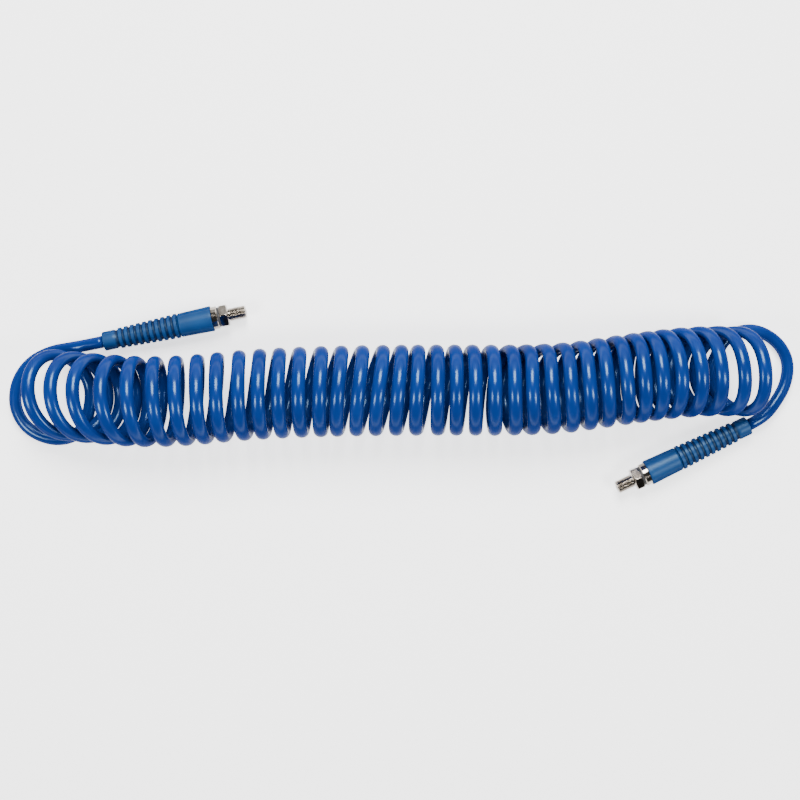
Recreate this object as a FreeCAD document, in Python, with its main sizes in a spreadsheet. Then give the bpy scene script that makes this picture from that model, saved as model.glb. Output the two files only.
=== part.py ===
"""Coiled polyurethane air hose, 12 mm outside and 8 mm inside, with a swivel fitting at each end.

The hose rests on the plane Z = 0 with its coil along X. The origin is under the middle of the whole.
Both ends are alike: a ribbed boot over a crimped ferrule, a barbed stem in the hose's bore, and a hexagon
body with a male 1/4 in thread that turns on the stem's spigot.
"""
import FreeCAD, Part
import math
import os
import Sketcher
from FreeCAD import Vector

DOCUMENT = FreeCAD.newDocument("coiled_air_hose")
SHEET = DOCUMENT.addObject("Spreadsheet::Sheet", "Sizes")

# Driving sizes in millimetres and degrees. Heights named *_at are measured along a fitting's axis from
# the mouth of its boot, which is where the bare hose goes in.
SIZES = {
    "hose_dia": 12.0,
    "hose_bore_dia": 8.0,
    "coil_dia": 90.0,
    "coil_left_foot_x": -315.0,
    "coil_left_top_x": -361.0,
    "coil_right_foot_x": 312.0,
    "coil_right_top_x": 361.0,
    "left_mouth_x": -293.5,
    "left_mouth_y": 58.0,
    "left_yaw": 12.0,
    "right_mouth_x": 345.0,
    "right_mouth_y": -25.0,
    "right_yaw": 205.5,
    "axis_height": 12.8,
    "straight_out": 16.0,
    "shift_x": -1.3,
    "shift_y": -0.9,
    # strain relief boot
    "boot_length": 110.0,
    "boot_collar_dia": 19.0,
    "boot_collar_length": 14.0,
    "boot_sleeve_at": 76.0,
    "boot_sleeve_dia": 23.6,
    "boot_end_dia": 25.4,
    "rib_first_dia": 20.6,
    "rib_last_dia": 24.6,
    "rib_depth": 2.0,
    "rib_count": 10.0,
    "rib_valley_start": 0.08,
    "rib_valley_end": 0.36,
    "rib_crest_start": 0.48,
    "rib_crest_end": 0.88,
    "boot_edge": 0.8,
    # crimped ferrule
    "ferrule_at": 80.0,
    "ferrule_dia": 20.4,
    "ferrule_flange_dia": 22.6,
    "ferrule_length": 36.0,
    "ferrule_edge": 0.7,
    # barbed stem
    "barb_at": 84.0,
    "barb_pitch": 4.4,
    "barb_count": 4.0,
    "barb_crest_at": 0.85,
    "barb_last_end": 0.9,
    "barb_step": 0.5,
    "barb_gap": 0.02,
    "hose_end_at": 106.0,
    "neck_dia": 8.6,
    "spigot_dia": 9.0,
    "spigot_end_at": 131.0,
    "stem_bore_dia": 4.6,
    "ring_groove_depth": 0.75,
    "ring_groove_width": 1.7,
    "ring_at": 120.6,
    "seal_groove_depth": 1.35,
    "seal_groove_width": 1.9,
    "rear_seal_at": 124.15,
    "front_seal_at": 127.95,
    "seal_thickness": 1.34,
    "ring_thickness": 1.3,
    "ring_sweep": 325.0,
    # swivel body
    "swivel_at": 118.0,
    "running_clearance": 0.05,
    "hex_flats": 20.6,
    "hex_length": 8.0,
    "hex_edge": 0.9,
    "undercut_dia": 11.6,
    "undercut_length": 2.0,
    "thread_dia": 13.16,
    "thread_length": 15.0,
    "thread_chamfer": 1.0,
    "swivel_bore_dia": 6.0,
    "washer_thickness": 1.0,
    "washer_dia": 8.8,
    "washer_gap": 0.05,
    "dust_seal_dia": 19.4,
    "dust_seal_gap": 0.1,
}

# Every route is drawn in millimetres about the coil's middle, and then moved by shift_x and shift_y, which
# bring the middle of the whole hose to the origin.
# The coil's own axis, seen from above: it wanders as a relaxed coil does when it is laid down.
COIL_AXIS = [
    (-372, 9), (-302, 1), (-226, -3), (-132, 7), (8, 10),
    (146, 9), (212, 19), (272, 27), (326, 29), (372, 27),
]

# Each lead leaves its boot level and straight, as lead_points() says. Then it comes down to the floor and
# swings round the end of the coil along these points.
LEFT_LEAD = [
    (-327, 51.8, 8.2), (-348, 48.5, 6), (-369, 37.5, 6),
    (-382.5, 17, 6), (-384, -7.5, 6), (-372, -28.5, 6), (-350, -39.5, 6), (-328, -38.5, 6),
    (-309, -29, 6),
]
RIGHT_LEAD = [
    (373, -3.5, 7.5), (384.5, 16, 6), (387, 39, 6),
    (376, 58.5, 6), (355.5, 69.5, 6), (333, 69, 6), (316, 64, 6),
]

ARC_SHARE = 0.45  # of the shorter run beside a corner, taken up by the corner's arc


def fill_sheet():
    for row, (alias, value) in enumerate(SIZES.items(), start=1):
        SHEET.set(f"A{row}", alias)
        SHEET.set(f"B{row}", str(value))
        SHEET.setAlias(f"B{row}", alias)
    DOCUMENT.recompute()


def size(alias):
    return float(getattr(SHEET, alias))


def cell(alias):
    return f"Sizes.{alias}"


def shift():
    return Vector(size("shift_x"), size("shift_y"), 0)


def mouth(side):
    """Where the bare hose goes into a boot, before the shift."""
    return Vector(size(side + "_mouth_x"), size(side + "_mouth_y"), size("axis_height"))


def fitting_direction(side):
    yaw = math.radians(size(side + "_yaw"))
    return Vector(math.cos(yaw), math.sin(yaw), 0)


def fitting_placement(side):
    """A fitting's own Z runs from its boot's mouth to its thread, and its X points up."""
    along = fitting_direction(side)
    up = Vector(0, 0, 1)
    return FreeCAD.Placement(mouth(side) + shift(), FreeCAD.Rotation(up, along.cross(up), along, "ZXY"))


def turned_body(name, outline):
    """A ring turned about Z. The outline is a list of (radius, height) expressions, in order."""
    body = DOCUMENT.addObject("PartDesign::Body", name)
    sketch = body.newObject("Sketcher::SketchObject", name + "_outline")
    plane = next(f for f in body.Origin.OriginFeatures if f.Role == "XZ_Plane")
    sketch.AttachmentSupport = [(plane, "")]
    sketch.MapMode = "FlatFace"
    corners = [(SHEET.evalExpression(r), SHEET.evalExpression(z)) for r, z in outline]
    corners = [(float(r), float(z)) for r, z in corners]
    count = len(corners)
    for i in range(count):
        start = Vector(*corners[i], 0)
        end = Vector(*corners[(i + 1) % count], 0)
        sketch.addGeometry(Part.LineSegment(start, end), False)
    for i in range(count):
        sketch.addConstraint(Sketcher.Constraint("Coincident", i, 2, (i + 1) % count, 1))
    for i, (radius, height) in enumerate(outline):
        for kind, label, value, formula in (
            ("DistanceX", f"radius_{i}", corners[i][0], radius),
            ("DistanceY", f"height_{i}", corners[i][1], height),
        ):
            index = sketch.addConstraint(Sketcher.Constraint(kind, -1, 1, i, 1, value))
            sketch.renameConstraint(index, label)
            sketch.setExpression("Constraints." + label, formula)
    turning = body.newObject("PartDesign::Revolution", name + "_turning")
    turning.Profile = sketch
    turning.ReferenceAxis = (sketch, ["V_Axis"])
    turning.Angle = 360
    body.Tip = turning
    return body


def torus(name, ring_radius, wire_radius, height, sweep="360"):
    """A ring at its height on the axis, inside a compound whose own Placement stays free."""
    ring = DOCUMENT.addObject("Part::Torus", name + "_wire")
    ring.setExpression("Radius1", ring_radius)
    ring.setExpression("Radius2", wire_radius)
    ring.setExpression("Angle3", sweep)
    ring.setExpression("Placement.Base.z", height)
    holder = DOCUMENT.addObject("Part::Compound", name)
    holder.Links = [ring]
    return holder


def make_boot(side):
    """Soft PVC boot: a plain collar, ten ribs that grow towards the fitting, and a smooth sleeve."""
    hose = f"{cell('hose_dia')} / 2"
    edge = cell("boot_edge")
    outline = [
        (hose, "0"),
        (f"{cell('boot_collar_dia')} / 2 - {edge}", "0"),
        (f"{cell('boot_collar_dia')} / 2", edge),
        (f"{cell('boot_collar_dia')} / 2", cell("boot_collar_length")),
    ]
    pitch = (
        f"(({cell('boot_sleeve_at')} - {cell('boot_collar_length')}) / {cell('rib_count')})"
    )
    for rib in range(int(size("rib_count"))):
        start = f"{cell('boot_collar_length')} + {rib} * {pitch}"
        growth = (
            f"({cell('rib_last_dia')} - {cell('rib_first_dia')}) / 2 * {rib}"
            f" / ({cell('rib_count')} - 1)"
        )
        crest = f"{cell('rib_first_dia')} / 2 + {growth}"
        root = f"{crest} - {cell('rib_depth')}"
        outline += [
            (root, f"{start} + {cell('rib_valley_start')} * {pitch}"),
            (root, f"{start} + {cell('rib_valley_end')} * {pitch}"),
            (crest, f"{start} + {cell('rib_crest_start')} * {pitch}"),
            (crest, f"{start} + {cell('rib_crest_end')} * {pitch}"),
        ]
    outline += [
        (f"{cell('rib_last_dia')} / 2 - {cell('rib_depth')}", cell("boot_sleeve_at")),
        (f"{cell('boot_sleeve_dia')} / 2", f"{cell('boot_sleeve_at')} + {edge}"),
        (f"{cell('boot_end_dia')} / 2", f"{cell('boot_length')} - {edge}"),
        (f"{cell('boot_end_dia')} / 2 - {edge}", cell("boot_length")),
        (f"{cell('ferrule_dia')} / 2", cell("boot_length")),
        (f"{cell('ferrule_dia')} / 2", f"{cell('ferrule_at')} - 1"),
        (hose, f"{cell('ferrule_at')} - 1"),
    ]
    return turned_body(f"strain_relief_boot_{side}", outline)


def make_hose_tail(side):
    """The straight end of the hose, held inside the boot and the ferrule."""
    outer = f"{cell('hose_dia')} / 2"
    inner = f"{cell('hose_bore_dia')} / 2"
    outline = [(inner, "0"), (outer, "0"), (outer, cell("hose_end_at")), (inner, cell("hose_end_at"))]
    return turned_body(f"hose_tail_{side}", outline)


def make_ferrule(side):
    """Nickel-plated crimp cup with the round flange that shows beyond the boot."""
    hose = f"{cell('hose_dia')} / 2"
    neck = f"{cell('neck_dia')} / 2"
    cup = f"{cell('ferrule_dia')} / 2"
    flange = f"{cell('ferrule_flange_dia')} / 2"
    edge = cell("ferrule_edge")
    front = f"{cell('ferrule_at')} + {cell('ferrule_length')}"
    outline = [
        (hose, cell("ferrule_at")),
        (f"{cup} - {edge}", cell("ferrule_at")),
        (cup, f"{cell('ferrule_at')} + {edge}"),
        (cup, cell("boot_length")),
        (f"{flange} - {edge} / 2", cell("boot_length")),
        (flange, f"{cell('boot_length')} + {edge} / 2"),
        (flange, f"{front} - {edge}"),
        (f"{flange} - {edge}", front),
        (neck, front),
        (neck, cell("hose_end_at")),
        (hose, cell("hose_end_at")),
    ]
    return turned_body(f"crimp_ferrule_{side}", outline)


def make_stem(side):
    """Barbed tail in the hose's bore, a neck through the ferrule, and the grooved spigot."""
    bore = f"{cell('stem_bore_dia')} / 2"
    crest = f"{cell('hose_bore_dia')} / 2 - {cell('barb_gap')}"
    root = f"{crest} - {cell('barb_step')}"
    spigot = f"{cell('spigot_dia')} / 2"
    front = f"{cell('ferrule_at')} + {cell('ferrule_length')}"
    outline = [(bore, cell("barb_at"))]
    for barb in range(int(size("barb_count"))):
        start = f"{cell('barb_at')} + {barb} * {cell('barb_pitch')}"
        outline += [(root, start), (crest, f"{start} + {cell('barb_crest_at')} * {cell('barb_pitch')}")]
    last_barb = f"({cell('barb_count')} - 1 + {cell('barb_last_end')})"
    outline += [
        (root, f"{cell('barb_at')} + {last_barb} * {cell('barb_pitch')}"),
        (root, cell("hose_end_at")),
        (f"{cell('neck_dia')} / 2", cell("hose_end_at")),
        (f"{cell('neck_dia')} / 2", front),
        (spigot, front),
    ]
    for at, width, depth in (
        ("ring_at", "ring_groove_width", "ring_groove_depth"),
        ("rear_seal_at", "seal_groove_width", "seal_groove_depth"),
        ("front_seal_at", "seal_groove_width", "seal_groove_depth"),
    ):
        low = f"{cell(at)} - {cell(width)} / 2"
        high = f"{cell(at)} + {cell(width)} / 2"
        floor = f"{spigot} - {cell(depth)}"
        outline += [(spigot, low), (floor, low), (floor, high), (spigot, high)]
    outline += [(spigot, cell("spigot_end_at")), (bore, cell("spigot_end_at"))]
    return turned_body(f"hose_stem_{side}", outline)


def make_swivel_body(side):
    """A turned blank cut by a hexagonal prism, the way hexagon bar becomes a union body."""
    corner = f"{cell('hex_flats')} / sqrt(3)"
    thread = f"{cell('thread_dia')} / 2"
    bearing = f"{cell('spigot_dia')} / 2 + {cell('running_clearance')}"
    groove = f"{bearing} + {cell('ring_groove_depth')}"
    groove_low = f"{cell('ring_at')} - {cell('ring_groove_width')} / 2"
    groove_high = f"{cell('ring_at')} + {cell('ring_groove_width')} / 2"
    step = f"{cell('spigot_end_at')} + {cell('washer_thickness')} + 2 * {cell('washer_gap')}"
    front_air = f"{cell('swivel_bore_dia')} / 2"
    hex_end = f"{cell('swivel_at')} + {cell('hex_length')}"
    thread_start = f"{hex_end} + {cell('undercut_length')}"
    thread_end = f"{thread_start} + {cell('thread_length')}"
    edge = cell("hex_edge")
    chamfer = cell("thread_chamfer")
    outline = [
        (bearing, cell("swivel_at")),
        (f"{corner} - 2 * {edge}", cell("swivel_at")),
        (corner, f"{cell('swivel_at')} + {edge}"),
        (corner, f"{hex_end} - {edge}"),
        (f"{corner} - 2 * {edge}", hex_end),
        (f"{cell('undercut_dia')} / 2", hex_end),
        (f"{cell('undercut_dia')} / 2", thread_start),
        (thread, thread_start),
        (thread, thread_end),
        (f"{thread} - {chamfer}", f"{thread_end} + {chamfer}"),
        (front_air, f"{thread_end} + {chamfer}"),
        (front_air, step),
        (bearing, step),
        (bearing, groove_high),
        (groove, groove_high),
        (groove, groove_low),
        (bearing, groove_low),
    ]
    blank = turned_body(f"swivel_blank_{side}", outline)
    prism = DOCUMENT.addObject("Part::Prism", f"swivel_hexagon_{side}")
    prism.Polygon = 6
    prism.setExpression("Circumradius", corner)
    prism.setExpression("Height", f"{thread_end} + 2 * {chamfer}")
    body = DOCUMENT.addObject("Part::Common", f"swivel_body_{side}")
    body.Base = blank
    body.Tool = prism
    return body


def make_spigot_seal(side, place):
    centre = (
        f"{cell('spigot_dia')} / 2 - {cell('seal_groove_depth')} + {cell('seal_thickness')} / 2 + 0.01"
    )
    return torus(f"spigot_seal_{place}_{side}", centre, f"{cell('seal_thickness')} / 2",
                 cell(place + "_seal_at"))


def make_retaining_ring(side):
    """Round wire ring, half in the stem's groove and half in the body's."""
    centre = f"{cell('spigot_dia')} / 2 + {cell('running_clearance')} / 2"
    return torus(f"retaining_ring_{side}", centre, f"{cell('ring_thickness')} / 2",
                 cell("ring_at"), cell("ring_sweep"))


def make_thrust_washer(side):
    outer = f"{cell('washer_dia')} / 2"
    inner = f"{cell('swivel_bore_dia')} / 2"
    low = f"{cell('spigot_end_at')} + {cell('washer_gap')}"
    high = f"{low} + {cell('washer_thickness')}"
    return turned_body(f"thrust_washer_{side}", [(inner, low), (outer, low), (outer, high), (inner, high)])


def make_dust_seal(side):
    """Black rubber ring in the gap between the ferrule's flange and the turning body."""
    outer = f"{cell('dust_seal_dia')} / 2"
    inner = f"{cell('spigot_dia')} / 2 + 2 * {cell('running_clearance')}"
    low = f"{cell('ferrule_at')} + {cell('ferrule_length')} + {cell('dust_seal_gap')}"
    high = f"{cell('swivel_at')} - {cell('dust_seal_gap')}"
    return turned_body(f"dust_seal_{side}", [(inner, low), (outer, low), (outer, high), (inner, high)])


def rounded_path(points):
    """Straight runs joined by tangent arcs, with each arc's radius and the path's length."""
    corners = [Vector(*point) + shift() for point in points]
    edges = []
    radii = []
    here = corners[0]
    for before, corner, after in zip(corners, corners[1:], corners[2:]):
        back = before - corner
        onward = after - corner
        reach = ARC_SHARE * min(back.Length, onward.Length)
        turn = math.pi - back.getAngle(onward)
        radii.append(reach / math.tan(turn / 2))
        back.normalize()
        onward.normalize()
        arc_start = corner + back * reach
        arc_end = corner + onward * reach
        inward = (back + onward).normalize()
        middle = corner + inward * (radii[-1] / math.cos(turn / 2) - radii[-1])
        edges.append(Part.LineSegment(here, arc_start).toShape())
        edges.append(Part.Arc(arc_start, middle, arc_end).toShape())
        here = arc_end
    edges.append(Part.LineSegment(here, corners[-1]).toShape())
    return Part.Wire(edges), radii


def swept_disc(path, radius):
    start = path.Edges[0].firstVertex().Point
    onward = path.Edges[0].tangentAt(path.Edges[0].FirstParameter)
    disc = Part.Wire([Part.Circle(start, onward, radius).toShape()])
    return path.makePipeShell([disc], True, False)


def report_sweep(name, solid, section, path, radii):
    share = solid.Volume / (section * path.Length)
    print(f"{name}: length {path.Length:.1f} mm, volume {share:.4f} of section x length,"
          f" radii {', '.join(f'{r:.0f}' for r in radii)} mm")


def lead_points(side, on_floor):
    """The boot's mouth, a point straight out of it, and the points that lead down to the coil."""
    straight = mouth(side) - fitting_direction(side) * size("straight_out")
    return [tuple(mouth(side)), tuple(straight)] + on_floor


def make_lead(side, on_floor):
    """Bare hose between the boot and the coil, bored right through."""
    path, radii = rounded_path(lead_points(side, on_floor))
    outer = size("hose_dia") / 2
    inner = size("hose_bore_dia") / 2
    solid = swept_disc(path, outer).cut(swept_disc(path, inner))
    report_sweep(f"hose_lead_{side}", solid, math.pi * (outer**2 - inner**2), path, radii)
    lead = DOCUMENT.addObject("Part::Feature", f"hose_lead_{side}")
    lead.Shape = solid.Solids[0]
    return lead


def make_coil():
    """The outer shape of the coil: a fat tube whose ends lean outwards, as the end turns do."""
    radius = size("coil_dia") / 2
    path, radii = rounded_path([(x, y, radius) for x, y in COIL_AXIS])
    tube = swept_disc(path, radius)
    report_sweep("hose_coil", tube, math.pi * radius**2, path, radii)
    reach = 2 * size("coil_dia")
    top = size("coil_dia")
    side_view = Part.makePolygon([
        Vector(x, -reach, z) + shift()
        for x, z in (
            (size("coil_left_foot_x"), 0),
            (size("coil_right_foot_x"), 0),
            (size("coil_right_top_x"), top),
            (size("coil_left_top_x"), top),
            (size("coil_left_foot_x"), 0),
        )
    ])
    leaning_ends = Part.Face(side_view).extrude(Vector(0, 2 * reach, 0))
    coil = DOCUMENT.addObject("Part::Feature", "hose_coil")
    coil.Shape = tube.common(leaning_ends).Solids[0]
    return coil


def make_fitting(side):
    pieces = [
        make_boot(side),
        make_hose_tail(side),
        make_ferrule(side),
        make_stem(side),
        make_swivel_body(side),
        make_spigot_seal(side, "rear"),
        make_spigot_seal(side, "front"),
        make_retaining_ring(side),
        make_thrust_washer(side),
        make_dust_seal(side),
    ]
    for piece in pieces:
        piece.Placement = fitting_placement(side)
    return pieces


def check_and_export(pieces):
    DOCUMENT.recompute()
    for thing in DOCUMENT.Objects:
        if {"Invalid", "Error"} & set(thing.State):
            raise RuntimeError(f"{thing.Name} failed: {thing.State}")
    os.makedirs("parts", exist_ok=True)
    whole = FreeCAD.BoundBox()
    for piece in pieces:
        if piece.Shape.isNull() or not piece.Shape.isValid():
            raise RuntimeError(f"{piece.Label} has no valid shape")
        whole.add(piece.Shape.optimalBoundingBox(True, False))
    for piece in pieces:
        piece.Shape.exportStep(f"parts/{piece.Label}.step")
    print(f"{len(pieces)} pieces, box {whole}, middle {whole.Center}")


def main():
    fill_sheet()
    pieces = [make_coil(), make_lead("left", LEFT_LEAD), make_lead("right", RIGHT_LEAD)]
    for side in ("left", "right"):
        pieces += make_fitting(side)
    for piece in pieces:
        piece.Label = piece.Name
    check_and_export(pieces)


main()
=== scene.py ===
"""A relaxed coiled air hose on a pale floor, seen from straight above."""
import math

import bmesh
import bpy
import numpy as np
from mathutils import Matrix, Vector


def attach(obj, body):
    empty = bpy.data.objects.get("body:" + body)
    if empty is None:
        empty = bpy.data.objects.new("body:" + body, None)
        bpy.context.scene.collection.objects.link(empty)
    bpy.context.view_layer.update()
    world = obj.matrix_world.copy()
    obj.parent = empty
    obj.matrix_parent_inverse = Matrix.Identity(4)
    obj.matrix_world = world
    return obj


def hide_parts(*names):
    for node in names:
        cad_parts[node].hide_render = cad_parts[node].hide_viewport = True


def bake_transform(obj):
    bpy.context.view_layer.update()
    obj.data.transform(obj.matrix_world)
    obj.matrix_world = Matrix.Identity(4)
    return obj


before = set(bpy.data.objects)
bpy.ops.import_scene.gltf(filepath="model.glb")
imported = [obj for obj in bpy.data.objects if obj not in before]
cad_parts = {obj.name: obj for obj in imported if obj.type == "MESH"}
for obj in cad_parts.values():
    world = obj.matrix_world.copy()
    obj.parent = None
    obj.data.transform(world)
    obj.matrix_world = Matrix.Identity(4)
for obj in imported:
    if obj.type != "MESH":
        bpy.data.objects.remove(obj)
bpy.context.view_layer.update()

MM = 0.001

# ---------------------------------------------------------------- sizes, in millimetres as in part.py
HOSE_DIA = 12.0
HOSE_RADIUS = HOSE_DIA / 2
HOSE_SEGMENTS = 24
TURN_RADIUS = 39.0
FLATTENING = 0.1  # share by which the bent tube is wider along the coil and thinner across it
MIDDLE_SHIFT = Vector((-1.3, -0.9, 0.0))
AXIS_HEIGHT = 12.8
STRAIGHT_OUT = 16.0
# Where the bare hose goes into each boot, as X and Y, and the yaw of the boot's axis in degrees
MOUTHS = {"left": ((-293.5, 58.0), 12.0), "right": ((345.0, -25.0), 205.5)}

# The coil's own axis from above, and the points of the leads from each boot to the coil
COIL_AXIS = [
    (-372, 9), (-302, 1), (-226, -3), (-132, 7), (8, 10),
    (146, 9), (212, 19), (272, 27), (326, 29), (372, 27),
]
LEFT_LEAD = [
    (-327, 51.8, 8.2), (-348, 48.5, 6), (-369, 37.5, 6),
    (-382.5, 17, 6), (-384, -7.5, 6), (-372, -28.5, 6), (-350, -39.5, 6), (-328, -38.5, 6),
    (-313, -26, 6),
]
RIGHT_LEAD = [
    (373, -3.5, 7.5), (384.5, 16, 6), (387, 39, 6),
    (376, 58.5, 6), (356, 70, 6), (337, 68.8, 6), (322, 59.5, 6), (314.5, 43, 6),
]

# ---------------------------------------------------------------- the coil's turns
POINTS_PER_TURN = 16
SMOOTH_STEPS = 6        # spline steps between two points of the hose's route
FIRST_BOTTOM = 0.75     # in turns: the pass under the first standing turn
LAST_BOTTOM = 37.75
LEFT_CENTRE_X = -332.0  # middle of the first standing turn
FIRST_TOP = 1.25
LAST_TOP = 37.25
FIRST_PITCH = 20.25
TIGHTENING = 0.097      # how much each turn's pitch is below the one before


def falling(distance, middle, width):
    """1 well before the middle, falling smoothly to 0 beyond it."""
    return 1 / (1 + math.exp((distance - middle) / width))


def hump(turn, middle, width):
    """1 at the middle, falling to 0 on both sides."""
    return math.exp(-(((turn - middle) / width) ** 2))


def ramp_up(distance):
    """0 below 0 and the distance itself above, with the corner rounded."""
    rounding = 0.35
    return rounding * math.log(1 + math.exp(distance / rounding))


def turn_centre_x(turn):
    """Where a turn stands along the coil: the pitch tightens evenly, with a little unevenness."""
    along = turn - FIRST_TOP
    unevenness = 0.5 * math.sin(1.9 * turn) + 0.3 * math.sin(3.1 * turn + 1.0)
    return LEFT_CENTRE_X + FIRST_PITCH * along - TIGHTENING * along**2 / 2 + unevenness


def top_lean(turn):
    """How far a turn's top stands towards +X of its middle: both ends of the coil lean outwards."""
    left_end = -24.5 * falling(turn, middle=4.35, width=0.74)
    first_turn = 3 * hump(turn, middle=FIRST_TOP, width=0.4)
    right_end = 20 * falling(LAST_TOP - turn, middle=1.4, width=0.91)
    return left_end - first_turn + right_end


def bottom_lean(turn):
    """How far a low pass lies towards +X. At both ends each low pass lies against the one before it."""
    left_end = 6.7 * (ramp_up(6.45 - turn) - ramp_up(1.2 - turn))
    left_slack = 4 * hump(turn, middle=13.8, width=3.6)
    right_end = 3.9 * (ramp_up(turn - 28.3) - ramp_up(turn - 37.3))
    past_open_gap = 1 - falling(turn, middle=23.4, width=0.6)
    right_end += 15 * hump(turn, middle=25.8, width=3.4) * past_open_gap
    return left_end - left_slack - right_end


def swing(turn):
    """How far a turn's far side is swung towards +X, most a little left of the coil's middle."""
    middle_part = (1 - falling(turn, middle=8.75, width=1)) * falling(turn, middle=25.45, width=1.2)
    return 3.6 * middle_part - 0.5 + 5 * hump(turn, middle=16.95, width=2.6)


def side_lag(turn):
    """How far both sides of a turn hang back from its top, near the right end."""
    return 7 * hump(turn, middle=33.55, width=2.0)


def early_crossing(turn, sine, cosine):
    """On the right half a low pass leaves its turn's far side sooner than it would by leaning alone."""
    if sine > 0 or cosine < 0:
        return 0.0
    on_right_half = 1 - falling(turn, middle=24, width=0.8)
    return 3 * on_right_half * (2 * sine * cosine) ** 2


def helix_point(turn, axis_y):
    """Turns lean outwards at both ends, with every turn's foot on the floor."""
    angle = 2 * math.pi * turn
    sine = math.sin(angle)
    cosine = math.cos(angle)
    top = top_lean(turn)
    bottom = bottom_lean(turn)
    upright_top = math.sqrt(1 - (top / TURN_RADIUS) ** 2)
    upright_bottom = math.sqrt(1 - (bottom / TURN_RADIUS) ** 2)
    # A quadratic spline cuts inside its control points by this share, so they stand further out.
    cut_inside = 0.75 + 0.25 * math.cos(2 * math.pi / POINTS_PER_TURN)
    radius = TURN_RADIUS / cut_inside
    lean = sine * ((top - bottom) / 2 + (top + bottom) / 2 * sine)
    rise = sine * ((upright_top + upright_bottom) / 2 + (upright_top - upright_bottom) / 2 * sine)
    x = turn_centre_x(turn) + lean + swing(turn) * cosine - side_lag(turn) * cosine**2
    x -= early_crossing(turn, sine, cosine)
    y = axis_y(x) + radius * cosine
    z = HOSE_RADIUS + TURN_RADIUS * upright_bottom + radius * rise
    return (x, y, max(z, HOSE_RADIUS))


# ---------------------------------------------------------------- routes and tubes
HALF_TURN = POINTS_PER_TURN * SMOOTH_STEPS // 2  # in points of the hose's path
STRETCH_REACH = 60                               # likewise


def new_object(name, data):
    """An object in the scene that holds this mesh, curve or light."""
    made = bpy.data.objects.new(name, data)
    bpy.context.collection.objects.link(made)
    return made


def running_mean(values, reach):
    """Each value becomes the mean of those up to reach places before and after it."""
    count = 2 * reach + 1
    return np.convolve(np.pad(values, reach, mode="edge"), np.ones(count) / count, mode="valid")


def nurbs_points(name, points, resolution):
    """Points read from a smooth NURBS spline with the given control points, in metres."""
    curve = bpy.data.curves.new(name, "CURVE")
    curve.dimensions = "3D"
    curve.resolution_u = resolution
    spline = curve.splines.new("NURBS")
    spline.points.add(len(points) - 1)
    for place, point in zip(spline.points, points):
        place.co = (*((Vector(point) + MIDDLE_SHIFT) * MM), 1.0)
    spline.order_u = 3
    spline.use_endpoint_u = True
    holder = new_object(name, curve)
    read = bpy.data.meshes.new_from_object(holder)
    found = np.array([v.co for v in read.vertices], float)
    bpy.data.objects.remove(holder)
    bpy.data.meshes.remove(read)
    bpy.data.curves.remove(curve)
    return found


def mouth(side):
    """Where the bare hose goes into a boot, in millimetres before the shift."""
    (x, y), _ = MOUTHS[side]
    return Vector((x, y, AXIS_HEIGHT))


def outward(side):
    """Unit direction from a boot's mouth towards its thread."""
    yaw = math.radians(MOUTHS[side][1])
    return Vector((math.cos(yaw), math.sin(yaw), 0))


def hose_route():
    """The hose's centreline from the left boot's mouth to the right one's, in metres."""
    axis = nurbs_points("coil_axis", [(x, y, 0) for x, y in COIL_AXIS], 24)
    axis = axis / MM - np.array(MIDDLE_SHIFT)

    def axis_y(x):
        return float(np.interp(x, axis[:, 0], axis[:, 1]))

    steps = round((LAST_BOTTOM - FIRST_BOTTOM) * POINTS_PER_TURN)
    turns = [FIRST_BOTTOM + step / POINTS_PER_TURN for step in range(steps + 1)]
    route = [mouth("left"), mouth("left") - outward("left") * STRAIGHT_OUT]
    route += LEFT_LEAD
    route += [helix_point(turn, axis_y) for turn in turns]
    route += reversed(RIGHT_LEAD)
    route += [mouth("right") - outward("right") * STRAIGHT_OUT, mouth("right")]
    return nurbs_points("hose_route", route, SMOOTH_STEPS)


def tube_frames(path):
    """Side vectors carried along a path with no twist."""
    tangents = np.gradient(path, axis=0)
    tangents /= np.linalg.norm(tangents, axis=1)[:, None]
    side = np.cross(tangents[0], (0.0, 0.0, 1.0))
    side /= np.linalg.norm(side)
    sides = []
    for tangent in tangents:
        side = side - tangent * (side @ tangent)
        side /= np.linalg.norm(side)
        sides.append(side)
    sides = np.array(sides)
    return sides, np.cross(tangents, sides)


def flatten(ring, tangents, amounts):
    """Make rings oval with the same girth, each by its own amount, wide along the coil's X."""
    wide = np.array([1.0, 0, 0]) - tangents * tangents[:, :1]
    wide /= np.maximum(np.linalg.norm(wide, axis=1), 1e-6)[:, None]
    along = (ring * wide).sum(axis=2, keepdims=True) * wide
    return ring + amounts[:, None] * (2 * along - ring)


def tube_mesh(name, path, radius, segments, flattening):
    """A closed tube with UVs: U round it, V along it in the same scale."""
    sides, ups = tube_frames(path)
    angles = np.linspace(0, 2 * math.pi, segments, endpoint=False)
    ring = np.cos(angles)[:, None, None] * sides + np.sin(angles)[:, None, None] * ups
    ring = flatten(ring, np.cross(sides, ups), flattening)
    points = (path[None] + radius * ring).transpose(1, 0, 2).reshape(-1, 3)
    lengths = np.concatenate([[0], np.cumsum(np.linalg.norm(np.diff(path, axis=0), axis=1))])
    faces = []
    uvs = []
    girth = 2 * math.pi * radius
    for i in range(len(path) - 1):
        low = lengths[i] / girth
        high = lengths[i + 1] / girth
        near = i * segments
        far = (i + 1) * segments
        for j in range(segments):
            k = (j + 1) % segments
            faces.append((near + j, near + k, far + k, far + j))
            left = j / segments
            right = (j + 1) / segments
            uvs += [(left, low), (right, low), (right, high), (left, high)]
    faces.append(tuple(reversed(range(segments))))
    faces.append(tuple((len(path) - 1) * segments + j for j in range(segments)))
    uvs += [(0, 0)] * (2 * segments)
    mesh = bpy.data.meshes.new(name)
    mesh.from_pydata([tuple(p) for p in points], [], faces)
    layer = mesh.uv_layers.new(name="UVMap")
    layer.data.foreach_set("uv", np.array(uvs, float).ravel())
    mesh.shade_smooth()
    return new_object(name, mesh)


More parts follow.
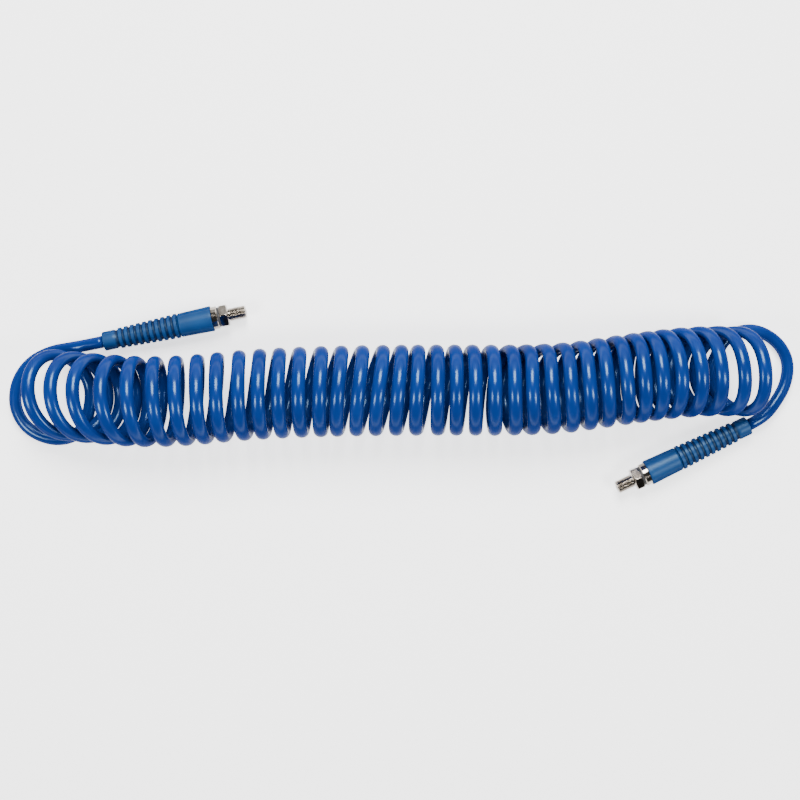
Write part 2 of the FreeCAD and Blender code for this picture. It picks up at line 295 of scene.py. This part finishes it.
def share_in_coil(path):
    """1 along the coil and 0 along the leads, which lie on the floor for more than half a turn."""
    raised = np.clip(path[:, 2] / (HOSE_DIA * MM) - 1, 0, 1)
    # Each turn also has a part on the floor, so the mean over a turn is scaled up to reach 1.
    scale = 1.6
    return np.clip(running_mean(raised, HALF_TURN) * scale, 0, 1)


# ---------------------------------------------------------------- pieces turned about a fitting's axis
def fitting_matrix(side):
    """A fitting's own Z runs from its boot's mouth to its thread, and its X points up."""
    along = outward(side)
    up = Vector((0, 0, 1))
    across = along.cross(up)
    turn = Matrix((up, across, along)).transposed().to_4x4()
    return Matrix.Translation((mouth(side) + MIDDLE_SHIFT) * MM) @ turn @ Matrix.Scale(MM, 4)


def skin_of_revolution(name, side, heights, radius_at, inner, segments):
    """A closed skin: the outside is radius_at(height, angle), the bore a list of (height, radius)."""
    angles = [2 * math.pi * j / segments for j in range(segments)]
    rows = [[(radius_at(height, angle), height) for angle in angles] for height in heights]
    rows += [[(radius, height)] * segments for height, radius in inner]
    points = [
        (radius * math.cos(angle), radius * math.sin(angle), height)
        for row in rows
        for (radius, height), angle in zip(row, angles)
    ]
    faces = []
    count = len(rows)
    for i in range(count):
        low = i * segments
        high = ((i + 1) % count) * segments
        for j in range(segments):
            k = (j + 1) % segments
            faces.append((low + j, low + k, high + k, high + j))
    mesh = bpy.data.meshes.new(name)
    mesh.from_pydata(points, [], faces)
    mesh.transform(fitting_matrix(side))
    build = bmesh.new()
    build.from_mesh(mesh)
    bmesh.ops.recalc_face_normals(build, faces=build.faces)
    build.to_mesh(mesh)
    build.free()
    mesh.shade_smooth()
    return new_object(name, mesh)


# The boot, measured in millimetres from its mouth
BOOT_LENGTH = 110.0
COLLAR_LENGTH = 14.0
COLLAR_RADIUS = 9.5
RIB_COUNT = 10
RIB_DEPTH = 1.8
RIB_ROWS = 24           # rows of vertices to a rib
RIB_RADIUS = 10.3       # the first rib's crest
RIB_GROWTH = 2.0        # from the first rib's crest to the last one's
RIB_RISE = (0.26, 0.42)  # where a rib rises, as shares of its pitch
RIB_FALL = (0.86, 1.0)
SLEEVE_AT = 76.0
SLEEVE_RADIUS = 11.8
SLEEVE_GROWTH = 0.9
SLEEVE_STEP = (1.5, 1.6)  # depth and length of the step up from the ribs to the sleeve
EDGE = 0.9
FERRULE_RADIUS = 10.2
FERRULE_SEAT_AT = 79.0
BOOT_SEGMENTS = 96


def rounded_step(low, high, share):
    """From low to high on half a cosine wave as the share goes from 0 to 1."""
    return low + (high - low) * (0.5 - 0.5 * math.cos(math.pi * min(max(share, 0), 1)))


def rib_at(height):
    """The rib crest's radius at this height, and how far through the rib's pitch the height is."""
    pitch = (SLEEVE_AT - COLLAR_LENGTH) / RIB_COUNT
    rib, share = divmod((height - COLLAR_LENGTH) / pitch, 1)
    return RIB_RADIUS + RIB_GROWTH * min(rib, RIB_COUNT - 1) / (RIB_COUNT - 1), share


def edge_rounding(from_end):
    """How much a rounded edge takes off the radius at a distance from the boot's end."""
    share = max(0.0, 1 - from_end / EDGE)
    return EDGE * (1 - math.sqrt(max(0.0, 1 - share**2)))


def boot_radius(height, _angle):
    """The boot's outside at a height: plain collar, ribs that grow, and a flaring sleeve."""
    if height < COLLAR_LENGTH:
        return COLLAR_RADIUS - edge_rounding(height)
    if height < SLEEVE_AT:
        crest, share = rib_at(height)
        root = crest - RIB_DEPTH
        if share < RIB_RISE[1]:
            return rounded_step(root, crest, (share - RIB_RISE[0]) / (RIB_RISE[1] - RIB_RISE[0]))
        return rounded_step(crest, root, (share - RIB_FALL[0]) / (RIB_FALL[1] - RIB_FALL[0]))
    growth = (height - SLEEVE_AT) / (BOOT_LENGTH - SLEEVE_AT)
    outside = SLEEVE_RADIUS + SLEEVE_GROWTH * growth
    depth, length = SLEEVE_STEP
    start = rounded_step(depth, 0.0, (height - SLEEVE_AT) / length)
    return outside - start - edge_rounding(BOOT_LENGTH - height)


def groove_shade_share(height):
    """How much painted shade a ring gets: 1 at the bottom of the grooves between ribs, 0 on their
    crests and off the ribbed part.
    """
    if not COLLAR_LENGTH <= height < SLEEVE_AT:
        return 0.0
    return (rib_at(height)[0] - boot_radius(height, 0)) / RIB_DEPTH


def make_boot(side):
    """The moulded boot, with painted shade for its grooves marked in a vertex attribute for the
    material.
    """
    heights = [EDGE * (1 - math.cos(math.pi / 2 * i / 5)) for i in range(6)]
    heights += [float(h) for h in np.arange(2, COLLAR_LENGTH, 2)]
    heights += [float(h) for h in np.linspace(COLLAR_LENGTH, SLEEVE_AT, RIB_COUNT * RIB_ROWS + 1)]
    heights += [SLEEVE_AT + 0.25 * i for i in range(1, 8)]
    heights += [float(h) for h in np.arange(SLEEVE_AT + 3, BOOT_LENGTH - 1, 2.5)]
    heights += [BOOT_LENGTH - EDGE * (1 - math.sin(math.pi / 2 * i / 5)) for i in range(6)]
    inner = [
        (BOOT_LENGTH, FERRULE_RADIUS), (FERRULE_SEAT_AT, FERRULE_RADIUS),
        (FERRULE_SEAT_AT, HOSE_RADIUS), (0.0, HOSE_RADIUS),
    ]
    boot = skin_of_revolution(f"boot_{side}", side, heights, boot_radius, inner, BOOT_SEGMENTS)
    # Painted shade: each ring's depth below its rib crest, stored as the groove attribute that darkens
    # the boot's colour.
    groove_shade_shares = [groove_shade_share(height) for height in heights] + [0.0] * len(inner)
    grooves = boot.data.attributes.new("groove", "FLOAT", "POINT")
    grooves.data.foreach_set("value", np.repeat(groove_shade_shares, BOOT_SEGMENTS).astype(np.float32))
    return boot


# The swivel body, on the same scale of heights
HEX_FLATS = 20.6
HEX_FROM = 118.0
HEX_TO = 126.0
HEX_EDGE = 0.9
THREAD_FROM = 128.0
THREAD_TO = 143.0
THREAD_RADIUS = 6.58
THREAD_PITCH = 1.337
THREAD_DEPTH = 0.72
THREAD_CHAMFER = 1.0
UNDERCUT_RADIUS = 5.8
AIR_WAY_RADIUS = 3.0
SPIGOT_BORE_RADIUS = 4.55
SPIGOT_BORE_TO = 132.1
SWIVEL_SEGMENTS = 120


def hexagon_radius(height, angle):
    """The hexagon's flats, and the cones that chamfer its corners at both ends."""
    corner = HEX_FLATS / math.sqrt(3)
    near_edge = max(0.0, 1 - min(height - HEX_FROM, HEX_TO - height) / HEX_EDGE)
    turned = corner - 2 * HEX_EDGE * near_edge
    sector = (angle + math.pi / 6) % (math.pi / 3) - math.pi / 6
    flat = HEX_FLATS / 2 / math.cos(math.pi / 6 - abs(sector))
    return min(turned, flat)


def thread_radius(height, angle):
    """A right-handed helical groove that starts shallow, and a chamfer at the far end."""
    share = ((height - THREAD_FROM) / THREAD_PITCH - angle / (2 * math.pi)) % 1
    wave = abs(2 * share - 1)
    # The wave is cut off at both ends, which leaves a narrow flat on the crest and in the root.
    groove = THREAD_DEPTH * min(1.0, max(0.0, 1.35 * wave - 0.2))
    lead_in = max(0.0, height - THREAD_TO)
    first = min(1.0, max(0.0, (height - THREAD_FROM) / THREAD_PITCH))
    return THREAD_RADIUS - lead_in - groove * first


def swivel_radius(height, angle):
    """The body's outside: hexagon, undercut and thread in turn."""
    if height <= HEX_TO:
        return hexagon_radius(height, angle)
    if height < THREAD_FROM:
        return UNDERCUT_RADIUS
    return thread_radius(height, angle)


def make_swivel_body(side):
    """The nickel-plated body, with the helical thread that the CAD node leaves plain."""
    heights = [HEX_FROM + HEX_EDGE * i / 4 for i in range(5)]
    heights += [HEX_FROM + 2.5, HEX_TO - 2.5]
    heights += [HEX_TO - HEX_EDGE + HEX_EDGE * i / 4 for i in range(5)]
    heights += [HEX_TO + 0.001, THREAD_FROM - 0.001]
    heights += [float(h) for h in np.arange(THREAD_FROM, THREAD_TO + THREAD_CHAMFER, THREAD_PITCH / 12)]
    heights += [THREAD_TO + THREAD_CHAMFER]
    inner = [
        (THREAD_TO + THREAD_CHAMFER, AIR_WAY_RADIUS), (SPIGOT_BORE_TO, AIR_WAY_RADIUS),
        (SPIGOT_BORE_TO, SPIGOT_BORE_RADIUS), (HEX_FROM, SPIGOT_BORE_RADIUS),
    ]
    name = f"swivel_body_detail_{side}"
    return skin_of_revolution(name, side, heights, swivel_radius, inner, SWIVEL_SEGMENTS)


# ---------------------------------------------------------------- materials
# Sockets of a Mix node for colours. They share their names with its other types, so they go by number.
MIX_FACTOR = 0
MIX_A = 6
MIX_B = 7
MIX_RESULT = 2


def new_material(name, colour, roughness, metallic=0.0, ior=1.5, gloss=0.5):
    """A material with its nodes, links and Principled shader."""
    material = bpy.data.materials.new(name)
    material.use_nodes = True
    nodes = material.node_tree.nodes
    shader = nodes["Principled BSDF"]
    shader.inputs["Base Color"].default_value = (*colour, 1)
    shader.inputs["Roughness"].default_value = roughness
    shader.inputs["Metallic"].default_value = metallic
    shader.inputs["IOR"].default_value = ior
    shader.inputs["Specular IOR Level"].default_value = gloss
    return material, nodes, material.node_tree.links, shader


def noise(nodes, links, scale, detail, source=None):
    """A noise texture over object coordinates, or over the source's."""
    texture = nodes.new("ShaderNodeTexNoise")
    texture.inputs["Scale"].default_value = scale
    texture.inputs["Detail"].default_value = detail
    if source is None:
        source = nodes.new("ShaderNodeTexCoord").outputs["Object"]
    links.new(source, texture.inputs["Vector"])
    return texture


def ramp(nodes, links, source, dark, light):
    """A colour between dark and light, following a noise."""
    made = nodes.new("ShaderNodeValToRGB")
    for element, place, colour in zip(made.color_ramp.elements, (0.3, 0.7), (dark, light)):
        element.position = place
        element.color = (*colour, 1)
    links.new(source, made.inputs["Fac"])
    return made.outputs["Color"]


def remap(nodes, links, source, low, high, start=0.0, end=1.0):
    """A number that goes from low to high as the source goes from start to end."""
    made = nodes.new("ShaderNodeMapRange")
    made.inputs["From Min"].default_value = start
    made.inputs["From Max"].default_value = end
    made.inputs["To Min"].default_value = low
    made.inputs["To Max"].default_value = high
    links.new(source, made.inputs["Value"])
    return made.outputs["Result"]


def quieten_rims(nodes, links, shader, gloss):
    """Gloss that fades towards grazing angles, so the pale floor doesn't wash out the edges."""
    facing = nodes.new("ShaderNodeLayerWeight").outputs["Facing"]
    fading = remap(nodes, links, facing, low=gloss, high=0.01, start=0.15, end=0.42)
    links.new(fading, shader.inputs["Specular IOR Level"])


def bump(nodes, links, shader, height, strength, distance):
    """Fine relief on the shader, with the distance in metres."""
    made = nodes.new("ShaderNodeBump")
    made.inputs["Strength"].default_value = strength
    made.inputs["Distance"].default_value = distance
    links.new(height, made.inputs["Height"])
    links.new(made.outputs["Normal"], shader.inputs["Normal"])


def hose_material():
    """Glossy extruded polyurethane: faint lines along the tube and slow changes of tint."""
    plain_blue = (0.004, 0.055, 0.30)
    made, nodes, links, shader = new_material("polyurethane_blue", plain_blue, 0.2, ior=1.45, gloss=0.4)
    uv = nodes.new("ShaderNodeUVMap")
    uv.uv_map = "UVMap"
    stretch = nodes.new("ShaderNodeMapping")
    stretch.inputs["Scale"].default_value = (60, 0.35, 1)
    links.new(uv.outputs["UV"], stretch.inputs["Vector"])
    lines = noise(nodes, links, scale=1.0, detail=3.0, source=stretch.outputs["Vector"]).outputs["Fac"]
    tint = noise(nodes, links, scale=38.0, detail=3.0).outputs["Fac"]
    colour = ramp(nodes, links, tint, dark=(0.0016, 0.0175, 0.126), light=(0.0029, 0.0255, 0.162))
    links.new(colour, shader.inputs["Base Color"])
    links.new(remap(nodes, links, lines, low=0.19, high=0.27), shader.inputs["Roughness"])
    bump(nodes, links, shader, lines, strength=0.08, distance=0.0002)
    shader.inputs["Specular Tint"].default_value = (0.45, 0.72, 1.0, 1)
    quieten_rims(nodes, links, shader, gloss=0.6)
    return made


def boot_material():
    """Soft matt PVC, with painted shade in the grooves between the ribs."""
    plain_blue = (0.010, 0.08, 0.22)
    made, nodes, links, shader = new_material("soft_pvc_blue", plain_blue, 0.36, ior=1.45, gloss=0.4)
    grain = noise(nodes, links, scale=900.0, detail=5.0).outputs["Fac"]
    tint = noise(nodes, links, scale=45.0, detail=3.0).outputs["Fac"]
    colour = ramp(nodes, links, tint, dark=(0.0016, 0.0245, 0.098), light=(0.0032, 0.036, 0.134))
    # Painted shade: the groove attribute mixes the boot's colour towards dark navy at the bottom of the
    # grooves.
    groove = nodes.new("ShaderNodeAttribute")
    groove.attribute_name = "groove"
    groove_painted_shade = nodes.new("ShaderNodeMix")
    groove_painted_shade.data_type = "RGBA"
    links.new(groove.outputs["Fac"], groove_painted_shade.inputs[MIX_FACTOR])
    links.new(colour, groove_painted_shade.inputs[MIX_A])
    groove_painted_shade.inputs[MIX_B].default_value = (0.0006, 0.008, 0.038, 1)
    links.new(groove_painted_shade.outputs[MIX_RESULT], shader.inputs["Base Color"])
    links.new(remap(nodes, links, grain, low=0.34, high=0.52), shader.inputs["Roughness"])
    bump(nodes, links, shader, grain, strength=0.15, distance=0.0001)
    shader.inputs["Specular Tint"].default_value = (0.5, 0.8, 1.0, 1)
    quieten_rims(nodes, links, shader, gloss=0.5)
    return made


def turned_metal(name, dark, light, roughness):
    """Machined metal with fine uneven polish and a little tarnish."""
    made, nodes, links, shader = new_material(name, light, roughness, metallic=1.0)
    tarnish = noise(nodes, links, scale=160.0, detail=5.0).outputs["Fac"]
    links.new(ramp(nodes, links, tarnish, dark, light), shader.inputs["Base Color"])
    polish = noise(nodes, links, scale=700.0, detail=3.0).outputs["Fac"]
    uneven = remap(nodes, links, polish, low=roughness * 0.7, high=roughness * 1.5)
    links.new(uneven, shader.inputs["Roughness"])
    bump(nodes, links, shader, polish, strength=0.05, distance=0.00005)
    return made


def matt_material(name, dark, light, roughness, grain_scale):
    """Rubber or PTFE with a fine grain."""
    made, nodes, links, shader = new_material(name, light, roughness)
    grain = noise(nodes, links, scale=grain_scale, detail=5.0).outputs["Fac"]
    links.new(ramp(nodes, links, grain, dark, light), shader.inputs["Base Color"])
    uneven = remap(nodes, links, grain, low=roughness * 0.85, high=roughness * 1.15)
    links.new(uneven, shader.inputs["Roughness"])
    bump(nodes, links, shader, grain, strength=0.1, distance=0.0001)
    return made


def paint(piece, material):
    piece.data.materials.clear()
    piece.data.materials.append(material)


# ---------------------------------------------------------------- build the pieces
hose_blue = hose_material()
boot_blue = boot_material()
nickel = turned_metal("nickel_plate", (0.14, 0.12, 0.10), (0.40, 0.365, 0.32), 0.13)
brass = turned_metal("machined_brass", (0.60, 0.42, 0.16), (0.80, 0.62, 0.30), 0.25)
spring_wire = turned_metal("drawn_wire", (0.45, 0.45, 0.46), (0.62, 0.62, 0.64), 0.3)
black_rubber = matt_material("nitrile_rubber", (0.012, 0.012, 0.013), (0.030, 0.030, 0.032), 0.6, 800.0)
white_ptfe = matt_material("ptfe", (0.78, 0.78, 0.76), (0.88, 0.88, 0.86), 0.5, 500.0)

path = hose_route()
hose = tube_mesh("hose", path, HOSE_RADIUS * MM, HOSE_SEGMENTS, FLATTENING * share_in_coil(path))
paint(hose, hose_blue)
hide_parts("hose_coil", "hose_lead_left", "hose_lead_right")

fitting_pieces = {"left": [], "right": []}
for side, fixed_body in (("left", "root"), ("right", "right_end")):
    boot = make_boot(side)
    paint(boot, boot_blue)
    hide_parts(f"strain_relief_boot_{side}")
    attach(boot, fixed_body)
    swivel = make_swivel_body(side)
    paint(swivel, nickel)
    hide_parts(f"swivel_body_{side}")
    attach(swivel, f"{side}_swivel")
    fitting_pieces[side] += [boot, swivel]
    for node, material in (
        ("hose_tail", hose_blue),
        ("crimp_ferrule", nickel),
        ("hose_stem", brass),
        ("spigot_seal_rear", black_rubber),
        ("spigot_seal_front", black_rubber),
        ("retaining_ring", spring_wire),
        ("dust_seal", black_rubber),
        ("thrust_washer", white_ptfe),
    ):
        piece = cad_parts[f"{node}_{side}"]
        paint(piece, material)
        fitting_pieces[side].append(piece)


def spread_stretch(piece, points):
    """Bake the piece's transform into its mesh and work out each ring's share of the coil's stretch,
    which is not applied.
    """
    unstretched = 0.12  # of the length, at each end
    low = min(p[0] for p in points)
    high = max(p[0] for p in points)
    foot = low + unstretched * (high - low)
    head = high - unstretched * (high - low)
    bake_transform(piece)
    share = np.clip((running_mean(points[:, 0], STRETCH_REACH) - foot) / (head - foot), 0, 1)
    share = share * share * (3 - 2 * share)


spread_stretch(hose, path)

# ---------------------------------------------------------------- stage, lights and camera
CAMERA_HEIGHT = 1.5
HALF_VIEW = 0.4        # metres of floor from the middle of the picture to its edge
FLOOR_REACH = 25.0
FLOOR_CLEARANCE = 0.0002
LIGHT_DISTANCE = 1.9


def make_floor():
    """A wide white floor just under the hose. It glows a little, so that it stays pale."""
    reach = FLOOR_REACH
    corners = [(-reach, -reach, 0), (reach, -reach, 0), (reach, reach, 0), (-reach, reach, 0)]
    mesh = bpy.data.meshes.new("floor")
    mesh.from_pydata(corners, [], [(0, 1, 2, 3)])
    floor = new_object("floor", mesh)
    floor.location.z = -FLOOR_CLEARANCE
    material, _, _, shader = new_material("white_floor", (0.93, 0.93, 0.93), 0.9)
    shader.inputs["Emission Color"].default_value = (1, 1, 1, 1)
    shader.inputs["Emission Strength"].default_value = 1.7
    paint(floor, material)


def area_light(name, direction, distance, width, depth, power):
    """A rectangular light that faces the origin from a direction."""
    light = bpy.data.lights.new(name, "AREA")
    light.shape = "RECTANGLE"
    light.size = width
    light.size_y = depth
    light.energy = power
    lamp = new_object(name, light)
    where = Vector(direction).normalized() * distance
    lamp.location = where
    lamp.rotation_euler = where.to_track_quat("Z", "Y").to_euler()


def make_lights():
    """One large light beyond the hose, two small ones on the near side, and a low wide panel."""
    area_light("far_light", (0, 0.56, 0.83), LIGHT_DISTANCE, width=0.8, depth=0.95, power=70)
    area_light("near_left_light", (-0.62, -0.28, 0.73), LIGHT_DISTANCE, width=0.5, depth=0.6, power=24)
    area_light("near_right_light", (0.62, -0.28, 0.73), LIGHT_DISTANCE, width=0.5, depth=0.6, power=24)
    area_light("far_panel", (0, 0.92, 0.40), distance=2.4, width=3.2, depth=0.9, power=10)


def make_camera():
    """Straight above the middle of the hose, looking down."""
    camera = bpy.data.objects.new("camera", bpy.data.cameras.new("camera"))
    bpy.context.scene.collection.objects.link(camera)
    camera.location = (MIDDLE_SHIFT.x * MM, MIDDLE_SHIFT.y * MM, CAMERA_HEIGHT)
    camera.data.angle = 2 * math.atan(HALF_VIEW / CAMERA_HEIGHT)
    bpy.context.scene.camera = camera


def make_world():
    """A pale horizon behind low views, dark overhead so that the plastic keeps its depth."""
    world = bpy.data.worlds.new("studio")
    world.use_nodes = True
    nodes = world.node_tree.nodes
    links = world.node_tree.links
    background = nodes["Background"]
    background.inputs["Color"].default_value = (0.92, 0.96, 1.0, 1)
    direction = nodes.new("ShaderNodeTexCoord")
    split = nodes.new("ShaderNodeSeparateXYZ")
    links.new(direction.outputs["Generated"], split.inputs["Vector"])
    strength = remap(nodes, links, split.outputs["Z"], low=0.65, high=0.04, start=0.05, end=0.3)
    links.new(strength, background.inputs["Strength"])
    bpy.context.scene.world = world


make_floor()
make_world()
make_lights()
make_camera()
